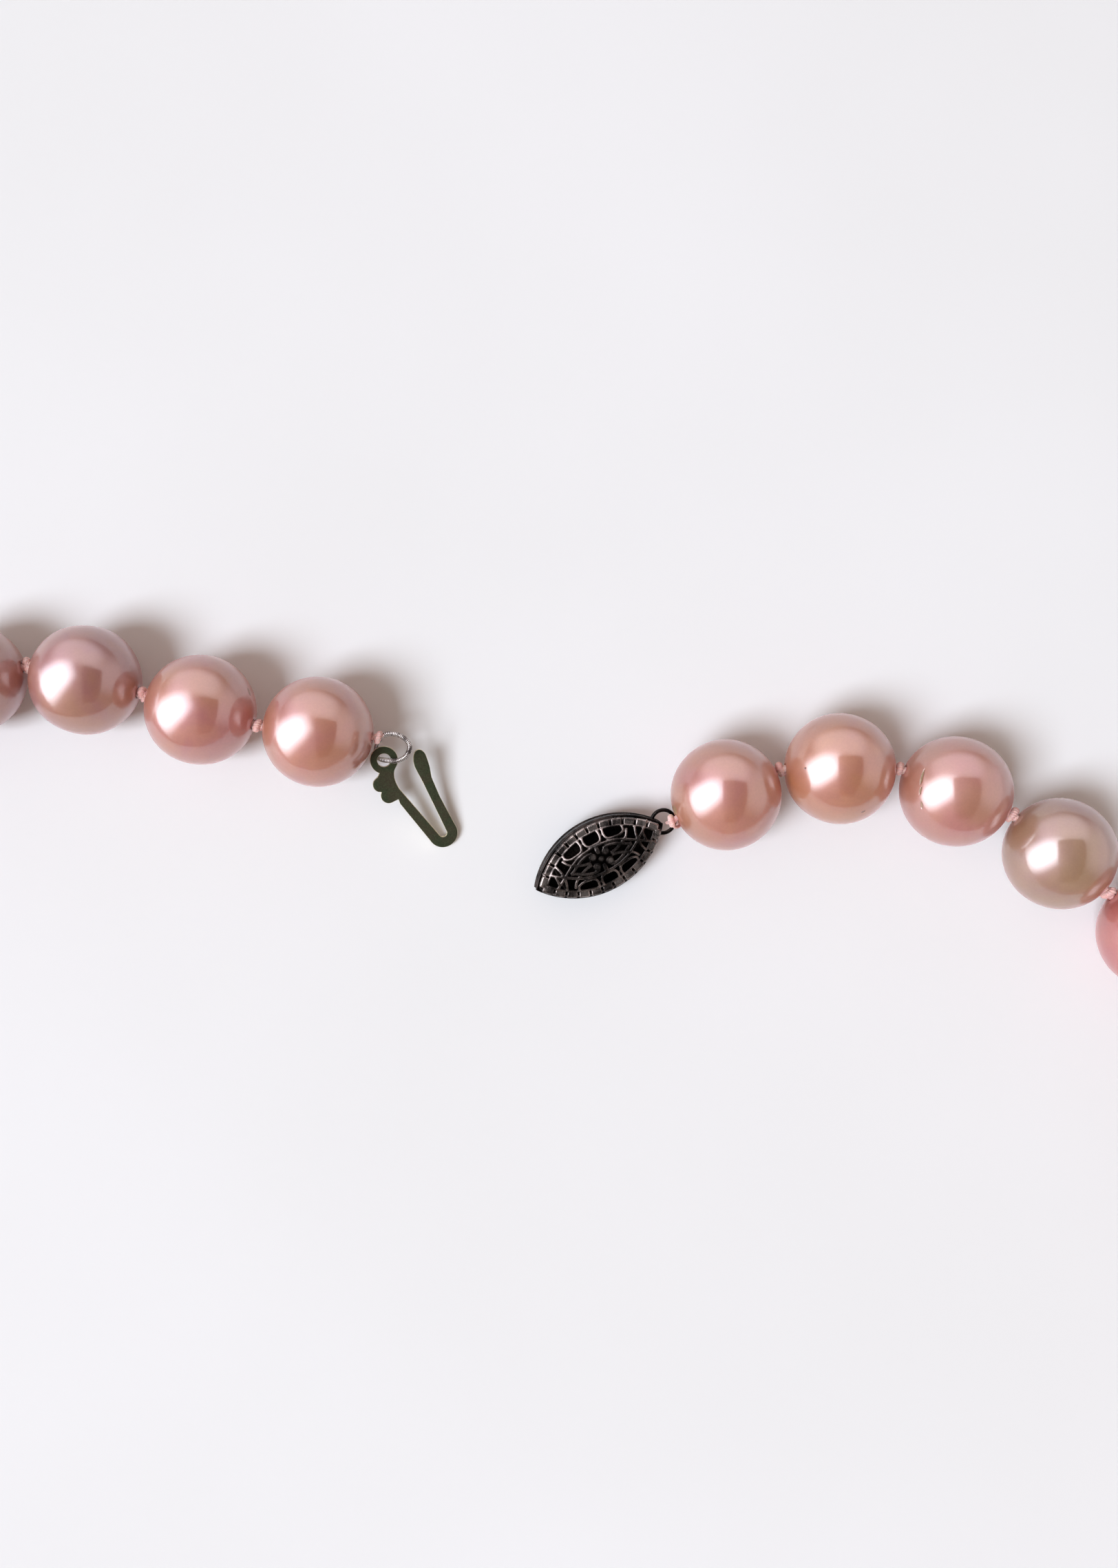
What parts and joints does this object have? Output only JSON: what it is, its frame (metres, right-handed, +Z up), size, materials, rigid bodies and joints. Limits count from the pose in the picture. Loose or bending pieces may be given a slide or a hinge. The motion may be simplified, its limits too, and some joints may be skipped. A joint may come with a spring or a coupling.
{
  "type": "pearl necklace",
  "caption": "Single-strand knotted pearl necklace with a gimp end loop, a stamped fish hook and a marquise filigree clasp, laid out in one loop.",
  "frame": {"origin": "middle of the underside of the laid-out necklace, on the table", "axes": "+Z up from the table; +Y towards the open clasp at the top of the loop; +X towards the side whose strand ends in the clasp body"},
  "size_m": [0.1544, 0.138, 0.009],
  "materials": {
    "pearl_peach": "gloss",
    "pearl_orange": "gloss",
    "pearl_pink": "gloss",
    "pearl_taupe": "gloss",
    "pearl_coral": "gloss",
    "pearl_mauve": "gloss",
    "silk": "satin",
    "gimp_wire": "satin",
    "hook_metal": "satin",
    "clasp_metal": "satin"
  },
  "bodies": {
    "pearl_01": {"pearl_01": "pearl_peach"},
    "pearl_02": {"pearl_02": "pearl_peach"},
    "pearl_03": {"pearl_03": "pearl_mauve"},
    "pearl_04": {"pearl_04": "pearl_mauve"},
    "pearl_05": {"pearl_05": "pearl_orange"},
    "pearl_06": {"pearl_06": "pearl_peach"},
    "pearl_07": {"pearl_07": "pearl_mauve"},
    "pearl_08": {"pearl_08": "pearl_coral"},
    "pearl_09": {"pearl_09": "pearl_taupe"},
    "pearl_10": {"pearl_10": "pearl_pink"},
    "pearl_11": {"pearl_11": "pearl_orange"},
    "pearl_12": {"pearl_12": "pearl_peach"},
    "pearl_13": {"pearl_13": "pearl_mauve"},
    "pearl_14": {"pearl_14": "pearl_coral"},
    "pearl_15": {"pearl_15": "pearl_taupe"},
    "pearl_16": {"pearl_16": "pearl_pink"},
    "pearl_17": {"pearl_17": "pearl_orange"},
    "pearl_18": {"pearl_18": "pearl_peach"},
    "pearl_19": {"pearl_19": "pearl_mauve"},
    "pearl_20": {"pearl_20": "pearl_coral"},
    "pearl_21": {"pearl_21": "pearl_taupe"},
    "pearl_22": {"pearl_22": "pearl_pink", "silk_thread": "silk"},
    "pearl_23": {"pearl_23": "pearl_orange"},
    "pearl_24": {"pearl_24": "pearl_peach"},
    "pearl_25": {"pearl_25": "pearl_mauve"},
    "pearl_26": {"pearl_26": "pearl_coral"},
    "pearl_27": {"pearl_27": "pearl_taupe"},
    "pearl_28": {"pearl_28": "pearl_pink"},
    "pearl_29": {"pearl_29": "pearl_orange"},
    "pearl_30": {"pearl_30": "pearl_peach"},
    "pearl_31": {"pearl_31": "pearl_mauve"},
    "pearl_32": {"pearl_32": "pearl_coral"},
    "pearl_33": {"pearl_33": "pearl_taupe"},
    "pearl_34": {"pearl_34": "pearl_pink"},
    "pearl_35": {"pearl_35": "pearl_orange"},
    "pearl_36": {"pearl_36": "pearl_peach"},
    "pearl_37": {"pearl_37": "pearl_mauve"},
    "pearl_38": {"pearl_38": "pearl_coral"},
    "pearl_39": {"pearl_39": "pearl_coral"},
    "pearl_40": {"pearl_40": "pearl_taupe"},
    "pearl_41": {"pearl_41": "pearl_pink"},
    "pearl_42": {"pearl_42": "pearl_orange"},
    "pearl_43": {"pearl_43": "pearl_peach"},
    "gimp_loop": {"gimp_loop": "gimp_wire"},
    "hook": {"hook_tongue": "hook_metal"},
    "spring_arm": {"hook_spring_arm": "hook_metal"},
    "clasp": {"clasp_front_filigree": "clasp_metal", "clasp_back_filigree": "clasp_metal", "clasp_band": "clasp_metal", "clasp_guide_plate": "clasp_metal", "clasp_cross_bar": "clasp_metal", "clasp_ring": "clasp_metal"}
  },
  "joints": [
    {"name": "hook_swing", "type": "hinge", "parent": "gimp_loop", "child": "hook", "pos_m": [-0.0128, 0.05782, 0.0029], "axis": [0.1608, -0.2457, 0.9559], "range_deg": [-30, 60], "deforming": ["silk_thread"]},
    {"name": "spring_arm_flex", "type": "hinge", "parent": "hook", "child": "spring_arm", "pos_m": [-0.00812, 0.05203, 0.00062], "axis": [0.1608, -0.2457, 0.9559], "range_deg": [-2, 8], "stiffness_Nm_per_rad": 0.002},
    {"name": "gimp_loop_swing", "type": "hinge", "parent": "pearl_01", "child": "gimp_loop", "pos_m": [-0.0131, 0.05942, 0.0045], "axis": [0.9945, -0.1045, 0], "range_deg": [-60, 60]},
    {"name": "clasp_swing", "type": "hinge", "parent": "pearl_43", "child": "clasp", "pos_m": [0.01105, 0.05269, 0.00205], "axis": [0.0037, 0.0037, 1], "range_deg": [-20, 20]},
    {"name": "knot_42_bend", "type": "hinge", "parent": "pearl_42", "child": "pearl_43", "pos_m": [0.01939, 0.0569, 0.0045], "axis": [0.2224, -0.975, 0], "range_deg": [-24, 0]},
    {"name": "knot_01_bend", "type": "hinge", "parent": "pearl_02", "child": "pearl_01", "pos_m": [-0.0228, 0.06044, 0.0045], "axis": [-0.0037, -0.0037, -1], "range_deg": [-23, 41]},
    {"name": "knot_41_bend", "type": "hinge", "parent": "pearl_41", "child": "pearl_42", "pos_m": [0.02908, 0.05695, 0.0045], "axis": [0.0037, 0.0037, 1], "range_deg": [-55, 9]},
    {"name": "knot_02_bend", "type": "hinge", "parent": "pearl_03", "child": "pearl_02", "pos_m": [-0.0322, 0.06302, 0.0045], "axis": [-0.2505, -0.9681, 0], "range_deg": [0, 24]},
    {"name": "knot_40_bend", "type": "hinge", "parent": "pearl_40", "child": "pearl_41", "pos_m": [0.03803, 0.0532, 0.0045], "axis": [-0.5226, -0.8526, 0], "range_deg": [-24, 0]},
    {"name": "knot_03_bend", "type": "hinge", "parent": "pearl_04", "child": "pearl_03", "pos_m": [-0.04166, 0.06532, 0.0045], "axis": [0.0037, 0.0037, 1], "range_deg": [-6, 58]},
    {"name": "knot_39_bend", "type": "hinge", "parent": "pearl_39", "child": "pearl_40", "pos_m": [0.04546, 0.0469, 0.0045], "axis": [-0.0037, -0.0037, -1], "range_deg": [-31, 33]},
    {"name": "knot_04_bend", "type": "hinge", "parent": "pearl_05", "child": "pearl_04", "pos_m": [-0.05112, 0.06326, 0.0045], "axis": [0.3921, -0.9199, 0], "range_deg": [0, 24]},
    {"name": "knot_38_bend", "type": "hinge", "parent": "pearl_38", "child": "pearl_39", "pos_m": [0.0528, 0.04047, 0.0045], "axis": [-0.652, -0.7582, 0], "range_deg": [-24, 0]},
    {"name": "knot_05_bend", "type": "hinge", "parent": "pearl_06", "child": "pearl_05", "pos_m": [-0.05916, 0.05786, 0.0045], "axis": [0.0037, 0.0037, 1], "range_deg": [-10, 54]},
    {"name": "knot_37_bend", "type": "hinge", "parent": "pearl_37", "child": "pearl_38", "pos_m": [0.06026, 0.03418, 0.0045], "axis": [-0.0037, -0.0037, -1], "range_deg": [-22, 42]},
    {"name": "knot_06_bend", "type": "hinge", "parent": "pearl_07", "child": "pearl_06", "pos_m": [-0.06462, 0.04981, 0.0045], "axis": [0.8787, -0.4775, 0], "range_deg": [0, 24]},
    {"name": "knot_36_bend", "type": "hinge", "parent": "pearl_36", "child": "pearl_37", "pos_m": [0.06644, 0.02669, 0.0045], "axis": [0.8526, 0.5225, 0], "range_deg": [0, 24]},
    {"name": "knot_07_bend", "type": "hinge", "parent": "pearl_08", "child": "pearl_07", "pos_m": [-0.06842, 0.04083, 0.0045], "axis": [0.0037, 0.0037, 1], "range_deg": [-24, 40]},
    {"name": "knot_35_bend", "type": "hinge", "parent": "pearl_35", "child": "pearl_36", "pos_m": [0.07032, 0.01775, 0.0045], "axis": [-0.0037, -0.0037, -1], "range_deg": [-22, 42]},
    {"name": "knot_08_bend", "type": "hinge", "parent": "pearl_09", "child": "pearl_08", "pos_m": [-0.07096, 0.03141, 0.0045], "axis": [0.9791, -0.2036, 0], "range_deg": [0, 24]},
    {"name": "knot_34_bend", "type": "hinge", "parent": "pearl_34", "child": "pearl_35", "pos_m": [0.07251, 0.00826, 0.0045], "axis": [-0.9919, -0.1267, 0], "range_deg": [-24, 0]},
    {"name": "knot_09_bend", "type": "hinge", "parent": "pearl_10", "child": "pearl_09", "pos_m": [-0.07238, 0.02176, 0.0045], "axis": [0.0037, 0.0037, 1], "range_deg": [-26, 38]},
    {"name": "knot_33_bend", "type": "hinge", "parent": "pearl_33", "child": "pearl_34", "pos_m": [0.07277, -0.00148, 0.0045], "axis": [0.0037, 0.0037, 1], "range_deg": [-43, 21]},
    {"name": "knot_10_bend", "type": "hinge", "parent": "pearl_11", "child": "pearl_10", "pos_m": [-0.07279, 0.01202, 0.0045], "axis": [1, -0.0052, 0], "range_deg": [0, 24]},
    {"name": "knot_32_bend", "type": "hinge", "parent": "pearl_32", "child": "pearl_33", "pos_m": [0.07124, -0.01111, 0.0045], "axis": [0.9736, -0.2282, 0], "range_deg": [0, 24]},
    {"name": "knot_11_bend", "type": "hinge", "parent": "pearl_12", "child": "pearl_11", "pos_m": [-0.07248, 0.00227, 0.0045], "axis": [0.0037, 0.0037, 1], "range_deg": [-26, 38]},
    {"name": "knot_31_bend", "type": "hinge", "parent": "pearl_31", "child": "pearl_32", "pos_m": [0.06834, -0.02041, 0.0045], "axis": [0.0037, 0.0037, 1], "range_deg": [-40, 24]},
    {"name": "knot_12_bend", "type": "hinge", "parent": "pearl_13", "child": "pearl_12", "pos_m": [-0.07123, -0.0074, 0.0045], "axis": [0.9797, 0.2007, 0], "range_deg": [0, 24]},
    {"name": "knot_30_bend", "type": "hinge", "parent": "pearl_30", "child": "pearl_31", "pos_m": [0.06414, -0.02921, 0.0045], "axis": [0.8735, -0.4869, 0], "range_deg": [0, 24]},
    {"name": "knot_13_bend", "type": "hinge", "parent": "pearl_14", "child": "pearl_13", "pos_m": [-0.06858, -0.01678, 0.0045], "axis": [0.0037, 0.0037, 1], "range_deg": [0, 41]},
    {"name": "knot_29_bend", "type": "hinge", "parent": "pearl_29", "child": "pearl_30", "pos_m": [0.05886, -0.03741, 0.0045], "axis": [0.0037, 0.0037, 1], "range_deg": [-39, 25]},
    {"name": "knot_14_bend", "type": "hinge", "parent": "pearl_15", "child": "pearl_14", "pos_m": [-0.06447, -0.02562, 0.0045], "axis": [0.8781, 0.4785, 0], "range_deg": [0, 24]},
    {"name": "knot_28_bend", "type": "hinge", "parent": "pearl_28", "child": "pearl_29", "pos_m": [0.0526, -0.04488, 0.0045], "axis": [0.7161, -0.698, 0], "range_deg": [0, 24]},
    {"name": "knot_15_bend", "type": "hinge", "parent": "pearl_16", "child": "pearl_15", "pos_m": [-0.05927, -0.03387, 0.0045], "axis": [-0.0037, -0.0037, -1], "range_deg": [-39, 0]},
    {"name": "knot_27_bend", "type": "hinge", "parent": "pearl_27", "child": "pearl_28", "pos_m": [0.04529, -0.05133, 0.0045], "axis": [-0.0037, -0.0037, -1], "range_deg": [-22, 42]},
    {"name": "knot_16_bend", "type": "hinge", "parent": "pearl_17", "child": "pearl_16", "pos_m": [-0.05308, -0.04141, 0.0045], "axis": [-0.7249, -0.6889, 0], "range_deg": [-24, 0]},
    {"name": "knot_26_bend", "type": "hinge", "parent": "pearl_26", "child": "pearl_27", "pos_m": [0.03699, -0.05645, 0.0045], "axis": [0.4635, -0.8861, 0], "range_deg": [0, 24]},
    {"name": "knot_17_bend", "type": "hinge", "parent": "pearl_18", "child": "pearl_17", "pos_m": [-0.04587, -0.04797, 0.0045], "axis": [0.0037, 0.0037, 1], "range_deg": [0, 40]},
    {"name": "knot_25_bend", "type": "hinge", "parent": "pearl_25", "child": "pearl_26", "pos_m": [0.02806, -0.06035, 0.0045], "axis": [0.0037, 0.0037, 1], "range_deg": [-39, 0]},
    {"name": "knot_18_bend", "type": "hinge", "parent": "pearl_19", "child": "pearl_18", "pos_m": [-0.03777, -0.0534, 0.0045], "axis": [0.5035, 0.864, 0], "range_deg": [0, 24]},
    {"name": "knot_24_bend", "type": "hinge", "parent": "pearl_24", "child": "pearl_25", "pos_m": [0.01869, -0.06307, 0.0045], "axis": [0.2115, -0.9774, 0], "range_deg": [0, 24]},
    {"name": "knot_19_bend", "type": "hinge", "parent": "pearl_20", "child": "pearl_19", "pos_m": [-0.02906, -0.05777, 0.0045], "axis": [0.0037, 0.0037, 1], "range_deg": [0, 39]},
    {"name": "knot_23_bend", "type": "hinge", "parent": "pearl_23", "child": "pearl_24", "pos_m": [0.00904, -0.06446, 0.0045], "axis": [-0.0037, -0.0037, -1], "range_deg": [0, 40]},
    {"name": "knot_20_bend", "type": "hinge", "parent": "pearl_21", "child": "pearl_20", "pos_m": [-0.01989, -0.06109, 0.0045], "axis": [-0.2848, -0.9586, 0], "range_deg": [-24, 0]},
    {"name": "knot_22_bend", "type": "hinge", "parent": "pearl_22", "child": "pearl_23", "pos_m": [-0.00071, -0.06446, 0.0045], "axis": [-0.0589, -0.9983, 0], "range_deg": [0, 24]},
    {"name": "knot_21_bend", "type": "hinge", "parent": "pearl_22", "child": "pearl_21", "pos_m": [-0.01039, -0.06331, 0.0045], "axis": [0.0037, 0.0037, 1], "range_deg": [0, 38]}
  ]
}
